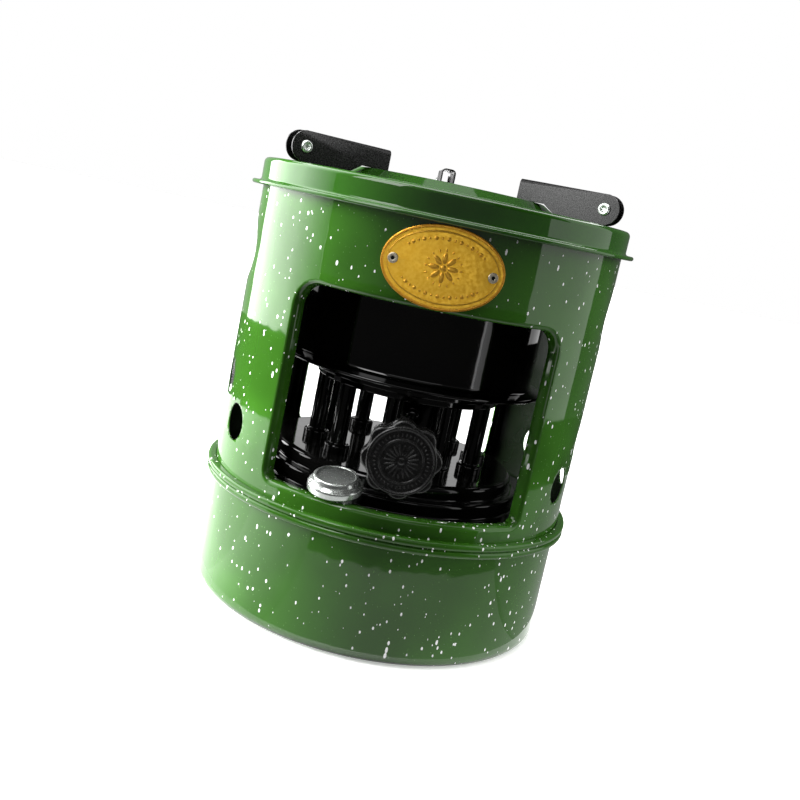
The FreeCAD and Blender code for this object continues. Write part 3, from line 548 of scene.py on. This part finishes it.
eyelet = {"reach": 28.0, "segments": 32, "paintedShadeDisc": 1.4, "paintedShadeDiscZ": 1.0, "corners": [
    (1.1, -2.4, 0), (1.1, 1.4, 0.35), (3.0, 1.4, 0.5), (3.0, 0.7, 0.2), (1.9, 0.7, 0), (1.9, -1.6, 0),
    (3.0, -1.6, 0.2), (3.0, -2.4, 0.2)]}
eyelets = bmesh.new()
for side in (-1, 1):
    one = turned(eyelet["corners"], eyelet["segments"])
    paintedShadeDisc = bmesh.ops.create_circle(one, cap_ends=True, segments=eyelet["segments"], radius=eyelet["paintedShadeDisc"] * mm)
    shaped(one, paintedShadeDisc["verts"], Matrix.Translation((0, 0, eyelet["paintedShadeDiscZ"] * mm)), 1)  # painted shade: a dark disc in the eyelet's bore stands for the shaded hole
    angle = -90 + side * math.degrees(eyelet["reach"] / shell["radius"])
    facing = polar(1, angle).normalized().to_track_quat("Z", "Y").to_matrix().to_4x4()
    takeIn(eyelets, moved(one, Matrix.Translation(polar(shell["radius"], angle, badge["z"])) @ facing))
finishPiece("badgeEyelets", eyelets, [nickelEyelet, paintedShadeEnamel], ["badge_eyelets"])
print("badge made")

drum = {"radius": 80.0, "rim": 76.0, "lipRadius": 88.0, "lipZ": 160.4, "hem": 1.1, "flareInner": 162.7,
        "flareOuter": 163.8, "top": 258.0, "sheet": 0.9, "steps": 180}
drumInner, drumUnder = drum["radius"] - drum["sheet"], drum["top"] - drum["sheet"]
drumLip = drum["lipRadius"] - 2 * drum["hem"]
drumCorners = [
    (drum["rim"], drum["top"], 0), (drum["rim"], drumUnder, 0), (drumInner, drumUnder, 1.6),
    (drumInner, drum["flareInner"], 3.6), (drumLip, drum["lipZ"] + 0.2, 0), (drumLip, drum["lipZ"] - drum["hem"], 1.0),
    (drum["lipRadius"], drum["lipZ"] - drum["hem"], 1.09), (drum["lipRadius"], drum["lipZ"] + drum["hem"], 1.0),
    (drum["radius"], drum["flareOuter"], 3), (drum["radius"], drum["top"], 2.5)]
finishPiece("burnerDrum", turned(drumCorners, drum["steps"]), [finishes["black_enamel"]],
            ["outer_drum"])

ring = {"sheet": 0.9, "steps": 160, "path": [
    (44, 156, 0), (44, 148, 0.9), (61.5, 148, 0.9), (61.5, 152.5, 0.9), (66.4, 152.5, 0.9), (66.4, 156, 0)]}
finishPiece("burnerRing", turned(sheetCorners(ring["path"], ring["sheet"]), ring["steps"]), [finishes["black_enamel"]],
            ["burner_ring"])

spreader = {"sheet": 0.9, "steps": 120, "path": [(47.8, 251, 0), (47.8, 257.4, 2), (32, 262, 8), (0, 262, 0)]}
finishPiece("flameSpreader", turned(sheetCorners(spreader["path"], spreader["sheet"]), spreader["steps"]),
            [finishes["burner_steel"]], ["spreader_cap"])

tubes = {"count": 10, "circle": 55.0, "phase": -8.6, "radius": 5.4, "bore": 4.75, "collar": 8.4, "foot": 97.0,
         "platform": 103.0, "collarHeight": 5.8, "top": 151.0, "steps": 40}
collarTop = tubes["platform"] + tubes["collarHeight"]
tubeCorners = [(tubes["bore"], tubes["foot"], 0), (tubes["radius"], tubes["foot"], 0),
               (tubes["radius"], tubes["platform"], 0), (tubes["collar"], tubes["platform"], 0.3),
               (tubes["collar"], collarTop, 1.6), (tubes["radius"], collarTop, 0.8),
               (tubes["radius"], tubes["top"], 0.2), (tubes["bore"], tubes["top"], 0.2)]
for i in range(tubes["count"]):
    place = polar(tubes["circle"], -90 + tubes["phase"] + 360 / tubes["count"] * i)
    tube = moved(turned(tubeCorners, tubes["steps"]), Matrix.Translation(place))
    finishPiece("wickTube%d" % (i + 1), tube, [finishes["black_enamel"]], ["wick_tube_%d" % (i + 1)])

plug = {"place": (6, -14, 131), "steps": 40, "corners": [
    (0, -1, 0), (4.6, -1, 0), (4.6, 1.6, 0.5), (3.2, 3.2, 1.6), (0, 3.9, 0)]}
onHousing = Matrix.Translation(Vector(plug["place"]) * mm) @ Matrix.Rotation(math.pi / 2, 4, "X")
finishPiece("housingPlug", moved(turned(plug["corners"], plug["steps"], closed=False), onHousing),
            [finishes["black_enamel"]], [], body="body")
print("burner made")

filler = {"x": -34.2, "y": -97.4, "z": 95.2, "lean": 11.0, "steps": 96, "corners": [  # spun about the neck's own axis
    (14.0, 0.2, 0.2), (15.9, 0.2, 0.3), (16.5, 1.0, 0.6), (16.5, 4.6, 1.8), (14.6, 6.2, 1.0), (14.0, 6.9, 0.8),
    (13.3, 9.6, 1.5), (11.7, 9.6, 0.5), (11.1, 9.05, 0.5), (0, 9.05, 0), (0, 8.2, 0), (12.2, 8.2, 0.6),
    (13.2, 5.6, 1.0), (15.6, 4.2, 1.2), (15.6, 1.0, 0.3), (14.0, 1.0, 0)]}
lean, upright = math.radians(filler["lean"]), Vector((0, 0, 1))
outward = Vector((filler["x"], filler["y"], 0)).normalized()
leaning = upright.rotation_difference(outward * math.sin(lean) + upright * math.cos(lean)).to_matrix().to_4x4()
onFiller = Matrix.Translation(Vector((filler["x"], filler["y"], filler["z"])) * mm) @ leaning
finishPiece("fillerCap", moved(turned(filler["corners"], filler["steps"]), onFiller), [finishes["zinc"]],
            ["filler_cap"])
print("filler cap made")

knob = {"faceY": -112.0, "z": 123.0, "thick": 10.5, "lobes": 8, "lobeStart": 6.0, "lobe": 7.4, "circle": 16.4,
        "valleySoft": 0.35, "body": 21.2, "face": 20.4, "rise": 2.4, "dish": 0.9, "line": 0.35, "round": 1.7,
        "petals": 20, "hub": 8.0, "hubDepth": 4.0, "rimSegments": 240}


def lobedRadius(turn, look):
    step = math.tau / look["lobes"]
    delta = (turn - math.radians(look["lobeStart"]) + step / 2) % step - step / 2
    across = look["circle"] * math.sin(delta)
    lobe, soft = 0, look["valleySoft"]
    if abs(across) < look["lobe"]:
        lobe = look["circle"] * math.cos(delta) + math.sqrt(look["lobe"] ** 2 - across ** 2)
    return soft * math.log(math.exp(lobe / soft) + math.exp(look["body"] / soft))


def buildKnob(look):
    bm = bmesh.new()
    bmesh.ops.create_circle(bm, cap_ends=True, segments=look["rimSegments"], radius=1.0)
    for vert in bm.verts:
        vert.co = vert.co.normalized() * lobedRadius(math.atan2(vert.co.y, vert.co.x), look) * mm
    made = bmesh.ops.extrude_face_region(bm, geom=bm.faces[:])["geom"]
    raised = [g for g in made if isinstance(g, bmesh.types.BMVert)]
    bmesh.ops.translate(bm, vec=(0, 0, look["thick"] * mm), verts=raised)
    bmesh.ops.recalc_face_normals(bm, faces=bm.faces[:])
    ends = [e for e in bm.edges if abs(e.verts[0].co.z - e.verts[1].co.z) < 1e-7]
    bmesh.ops.bevel(bm, geom=ends, offset=look["round"] * mm, offset_type="OFFSET", segments=6, profile=0.5,
                    affect="EDGES", material=-1, clamp_overlap=True)
    bmesh.ops.poke(bm, faces=[f for f in bm.faces if len(f.verts) > 4])
    top, face, hub = look["thick"] + look["rise"], look["face"], look["hub"]
    dish, base = top - look["dish"], look["thick"] - 1.5  # the face plate stands in the body, the hub behind it
    line = dish + look["line"]
    plate = turned([(0, base, 0), (face, base, 0), (face, top, 0.9), (face - 1.6, top, 0.6), (face - 2.2, dish, 0.4),
                    (13.4, dish, 0), (13.1, line, 0.2), (12.4, line, 0.2), (12.1, dish, 0), (0, dish, 0)],
                   96, closed=False)
    boss = turned([(0, 1.5, 0), (0, -look["hubDepth"], 0), (2.5, -look["hubDepth"], 0), (hub, -look["hubDepth"], 0.8),
                   (hub, 1.5, 0)], 48, closed=False)
    relief = bmesh.new()
    addPetals(relief, look["petals"], 3.4, 7.0, 1.0, 0.3, 0)
    addPetals(relief, look["petals"] * 2, 14.6, 1.8, 0.8, 0.35, 0)
    addBead(relief, 0, 0, 2.2, 0.45, 0)
    moved(relief, Matrix.Translation((0, 0, (dish + 0.05) * mm)) @ Matrix.Rotation(math.pi / 2, 4, "X"))
    for part in (plate, boss, relief):
        takeIn(bm, part)
    place = Matrix.Translation((0, (look["faceY"] + top) * mm, look["z"] * mm))
    return moved(bm, place @ Matrix.Rotation(math.pi / 2, 4, "X"))


finishPiece("lobedKnob", buildKnob(knob), [finishes["bakelite"]], ["knob"], sharpDegrees=50)
print("knob made")

arms = {"angles": {"rear": 90.0, "left": 210.0, "right": 330.0}, "pivotRadius": 107.0, "pivotZ": 285.6, "heel": 9.2,
        "slopeFrom": 30.0, "slopeTo": 39.0, "length": 57.0, "halfWidth": 5.0, "tipDrop": 3.3, "sheet": 1.0,
        "topBend": 3.0, "edgeRound": 0.22}


def onArm(angle):
    place = Matrix.Translation(polar(arms["pivotRadius"], angle, arms["pivotZ"]))
    return place @ Matrix.Rotation(math.radians(angle + 180), 4, "Z")


def buildArm(look):
    r = look["heel"]
    outline = [(-r * math.sin(math.radians(t)), r * math.cos(math.radians(t))) for t in range(0, 181, 10)]
    outline += [(look["slopeFrom"], -r), (look["slopeTo"], -look["tipDrop"]), (look["length"], -look["tipDrop"]),
                (look["length"], r)]
    bm = bmesh.new()
    front = [bm.verts.new((x * mm, -look["halfWidth"] * mm, z * mm)) for x, z in outline]
    cheek = bm.faces.new(front)
    made = bmesh.ops.duplicate(bm, geom=[cheek])
    twin = [g for g in made["geom"] if isinstance(g, bmesh.types.BMVert)]
    bmesh.ops.translate(bm, vec=(0, 2 * look["halfWidth"] * mm, 0), verts=twin)
    back = [made["vert_map"][v] for v in front]
    bm.faces.new([front[-1], front[0], back[0], back[-1]])
    bmesh.ops.recalc_face_normals(bm, faces=bm.faces[:])
    folds = [e for e in bm.edges if len(e.link_faces) == 2]
    bmesh.ops.bevel(bm, geom=folds, offset=look["topBend"] * mm, offset_type="OFFSET", segments=5, profile=0.5,
                    affect="EDGES", material=-1)
    web = max(bm.faces, key=lambda f: f.normal.z * f.calc_area() if abs(f.normal.z) > 0.9 else -1)
    if web.normal.z < 0:
        bmesh.ops.reverse_faces(bm, faces=bm.faces[:])
    return bm


armWall = [("SOLIDIFY", {"thickness": arms["sheet"] * mm, "offset": -1, "use_even_offset": True}),
           ("BEVEL", {"width": arms["edgeRound"] * mm, "segments": 2, "limit_method": "ANGLE",
                      "angle_limit": math.radians(50)})]
for name, angle in arms["angles"].items():
    finishPiece("potArm" + name.capitalize(), moved(buildArm(arms), onArm(angle)), [finishes["black_paint"]],
                ["arm_" + name], extras=armWall)

pivot = {"steps": 40, "head": [(0, 5.5, 0), (1.3, 5.5, 0.4), (1.9, 6.6, 0.5), (3.0, 6.7, 0.6), (3.75, 5.8, 0.6),
                               (3.75, 5.2, 0.1), (2.0, 5.2, 0)]}
pivotCorners = pivot["head"] + [(r, -z, bend) for r, z, bend in pivot["head"][::-1]]  # the same head at both ends
for name, angle in arms["angles"].items():
    across = onArm(angle) @ Matrix.Rotation(math.pi / 2, 4, "X")
    rivet = moved(turned(pivotCorners, pivot["steps"], closed=False), across)
    finishPiece("pivotRivet" + name.capitalize(), rivet, [finishes["zinc"]], ["pivot_" + name])
print("arms made")

carried = {  # finishes for the nodes that keep their own shape
    "black_enamel": ["lifter_housing", "drum_floor"],
    "black_paint": ["bracket_rear", "bracket_left", "bracket_right"],
    "plain_steel": ["shaft_gland", "knob_shaft", "pinion", "wick_rack", "wick_carrier", "knob_screw"],
    "zinc": ["bracket_rivets", "filler_neck"],
    "burner_steel": ["outer_flame_tube", "inner_flame_tube", "flame_tube_pins"],
    "gasket_rubber": ["cap_gasket"],
    "wick_cotton": ["wick_%d" % (i + 1) for i in range(tubes["count"])],
}
for slotName, names in carried.items():
    for name in names:
        piece = frame["nodes"][name]
        piece.data.materials.clear()
        piece.data.materials.append(finishes[slotName])
print("carried nodes dressed:", sum(len(names) for names in carried.values()))

studio = {"floorSize": 14.0, "worldCamera": 1.0, "worldGlossy": 1.0, "worldDiffuse": 0.04, "floorGlow": 0.4,
          "paper": "#f6f6f6", "paperShade": "#f2f2f2", "paperMm": 900}


def stageMesh(name, bm, material):
    mesh = bpy.data.meshes.new(name)
    bm.to_mesh(mesh)
    bm.free()
    mesh.materials.append(material)
    piece = bpy.data.objects.new(name, mesh)
    scene.collection.objects.link(piece)
    return piece


# matt white paper sweep: no gloss, a faint cloud of tone
floorMaterial, floorShader = newMaterial("mattStudioPaper", {
    "Roughness": 0.9, "Specular IOR Level": 0.1, "Emission Color": "#ffffff", "Emission Strength": studio["floorGlow"]})
onFloor = addNode(floorMaterial, "TexCoord", give="Object")
paperGrain = addNode(floorMaterial, "TexNoise", {"Scale": 1 / (studio["paperMm"] * mm)}, {"Vector": onFloor})
paperTone = addNode(floorMaterial, "Mix", {**colours, 6: studio["paper"], 7: studio["paperShade"]}, {0: paperGrain}, 2)
feed(floorMaterial, floorShader, {"Base Color": paperTone})
floor = bmesh.new()
bmesh.ops.create_grid(floor, x_segments=2, y_segments=2, size=studio["floorSize"] / 2)
stageMesh("studioFloor", floor, floorMaterial).visible_diffuse = False  # floorBounce lights the walls instead

# all but floorBounce show only in the gloss: start and end in degrees from the front (left is minus),
# (radius, height) of both edges in m, glow at start and end
cards = {
    "flagLow": (-60, 49.7, (0.34, 0.0), (0.34, 0.2), 0.06, 0.04),
    "flagHigh": (-60, 49.7, (0.34, 0.2), (0.34, 0.8), 0.28, 0.14),
    "badgeCard": (-20, 24, (0.339, 0.2), (0.339, 0.247), 1.3, 1.3),
    "armSheen": (-50, -25, (0.338, 0.294), (0.338, 0.6), 7.0, 7.0),
    "armShade": (20, 62, (0.338, 0.291), (0.338, 0.7), 0.02, 0.02),
    "flagTop": (115, 245, (0.62, 0.5), (0.42, 1.0), 0.1, 0.1),
    "softTop": (-180, 180, (0.3, 1.3), (0.01, 1.3), 3.0, 3.0),
    "lidGlint": (-100, 100, (0.119, 0.33), (0.142, 0.33), 6.0, 6.0),
    "flagLowLeft": (-168, -66, (0.62, 0.0), (0.62, 0.1), 0.08, 0.08),
    "softLeft": (-131, -90, (0.62, 0.1), (0.62, 1.2), 6.5, 5.5),
    "softLeftFade": (-90, -66, (0.62, 0.1), (0.62, 1.2), 5.5, 1.0),
    "flagFarLeft": (-168, -131, (0.62, 0.1), (0.62, 1.2), 0.45, 0.45),
    "softRight": (54.9, 107.5, (0.62, 0.062), (0.62, 1.0), 1.3, 1.0),
    "flagLowRight": (54.9, 168, (0.62, 0.0), (0.62, 0.062), 0.05, 0.05),
    "flagFarRight": (107.5, 168, (0.62, 0.062), (0.62, 1.0), 0.1, 0.1),
    "paperLeft": (-150, -75, (0.13, 0.001), (0.45, 0.001), 2.6, 2.6),
    "paperFrontLeft": (-75, -35, (0.13, 0.001), (0.335, 0.001), 3.0, 0.8),
    "paperFront": (-35, 65, (0.13, 0.001), (0.275, 0.001), 1.0, 0.7),
    "paperFrontFar": (-35, 65, (0.275, 0.001), (0.34, 0.001), 0.25, 0.2),
    "paperRight": (65, 150, (0.13, 0.001), (0.54, 0.001), 0.5, 0.35),
    "paperRightNear": (45, 65, (0.34, 0.001), (0.54, 0.001), 0.3, 0.45),
    "paperRightFar": (45, 168, (0.54, 0.001), (0.62, 0.001), 0.05, 0.05),
    "floorBounce": (-180, 180, (0.119, 0.0015), (0.32, 0.0015), 0.95, 0.95),
    "glowLeft": (-102, -84, (0.1155, 0.196), (0.1155, 0.214), 1.0, 1.0),
    "glowRight": (82, 103, (0.1155, 0.19), (0.1155, 0.214), 0.8, 1.2),
    "drumStrip": (40, 41.2, (0.119, 0.16), (0.119, 0.203), 1.1, 1.1),
}
# lit diffusion cloth: even light without any gloss of its own
cardMaterial, cardShader = newMaterial("glowingCloth", {
    "Base Color": "#000000", "Roughness": 1.0, "Specular IOR Level": 0.0, "Emission Color": "#ffffff"})
cardGlow = addNode(cardMaterial, "Attribute", {"attribute_name": "glow"}, give="Fac")
feed(cardMaterial, cardShader, {"Emission Strength": cardGlow})
for name, (start, end, near, far, first, last) in cards.items():
    card = bmesh.new()
    glow = card.verts.layers.float.new("glow")
    edge = [card.verts.new(polar(radius / mm, -90 + start, height / mm)) for radius, height in (near, far)]
    line = card.edges.new(edge)
    bmesh.ops.spin(card, geom=edge + [line], cent=(0, 0, 0), axis=(0, 0, 1), dvec=(0, 0, 0),
                   angle=math.radians(end - start), steps=max(4, round((end - start) / 3)))
    for vert in card.verts:
        along = (math.degrees(math.atan2(vert.co.y, vert.co.x)) + 90 - start) % 360 / (end - start)
        vert[glow] = first + (last - first) * min(along, 1)
    piece = stageMesh(name, card, cardMaterial)
    piece.visible_camera = piece.visible_transmission = piece.visible_shadow = False
    piece.visible_diffuse, piece.visible_glossy = name == "floorBounce", name != "floorBounce"

lamps = {  # azimuth from the front, elevation, spread in degrees, strength; none shows in the gloss
    "keyLeft": (-107, 9, 40, 26.0), "fillRight": (102, 12, 50, 4.4),
    "overhead": (-30, 86, 60, 2.3), "backSoft": (180, 20, 60, 1.8),
}
for name, (azimuth, elevation, spread, strength) in lamps.items():
    data = bpy.data.lights.new(name, "SUN")
    data.angle, data.energy = math.radians(spread), strength
    lamp = bpy.data.objects.new(name, data)
    flat = polar(1 / mm, -90 + azimuth)  # one metre out
    spot = flat * math.cos(math.radians(elevation)) + Vector((0, 0, math.sin(math.radians(elevation))))
    lamp.matrix_world = Matrix.Translation(spot) @ spot.to_track_quat("Z", "Y").to_matrix().to_4x4()
    lamp.visible_glossy = False
    scene.collection.objects.link(lamp)

world = bpy.data.worlds.new("whiteStudio")
scene.world = world
world.use_nodes = True
seen, mirrored = (addNode(world, "LightPath", give=ray) for ray in ("Is Camera Ray", "Is Glossy Ray"))
glossyLift = addNode(world, "Math", {"operation": "MULTIPLY_ADD", 1: studio["worldGlossy"] - studio["worldDiffuse"],
                                     2: studio["worldDiffuse"]}, {0: mirrored})
strength = addNode(world, "Math", {"operation": "MULTIPLY_ADD", 1: studio["worldCamera"] - studio["worldDiffuse"]},
                   {0: seen, 2: glossyLift})
background = world.node_tree.nodes["Background"]
background.inputs["Color"].default_value = (1, 1, 1, 1)
feed(world, background, {"Strength": strength})

view = {"place": (-0.0323, -0.6611, 0.2625), "azimuth": 2.53, "down": 10.76, "roll": 11.87, "lens": 44.78, "sensor": 36}
turnRight, tiltDown, roll = (math.radians(view[key]) for key in ("azimuth", "down", "roll"))
forward = Vector((math.sin(turnRight) * math.cos(tiltDown), math.cos(turnRight) * math.cos(tiltDown),
                  -math.sin(tiltDown)))
level = forward.cross(Vector((0, 0, 1))).normalized()
above = level.cross(forward)
right = level * math.cos(roll) + above * math.sin(roll)
top = above * math.cos(roll) - level * math.sin(roll)
cameraData = bpy.data.cameras.new("camera")
cameraData.lens, cameraData.sensor_width = view["lens"], view["sensor"]
camera = bpy.data.objects.new("camera", cameraData)
camera.matrix_world = Matrix.Translation(view["place"]) @ Matrix((right, top, -forward)).transposed().to_4x4()
scene.collection.objects.link(camera)
scene.camera = camera
print("studio made")
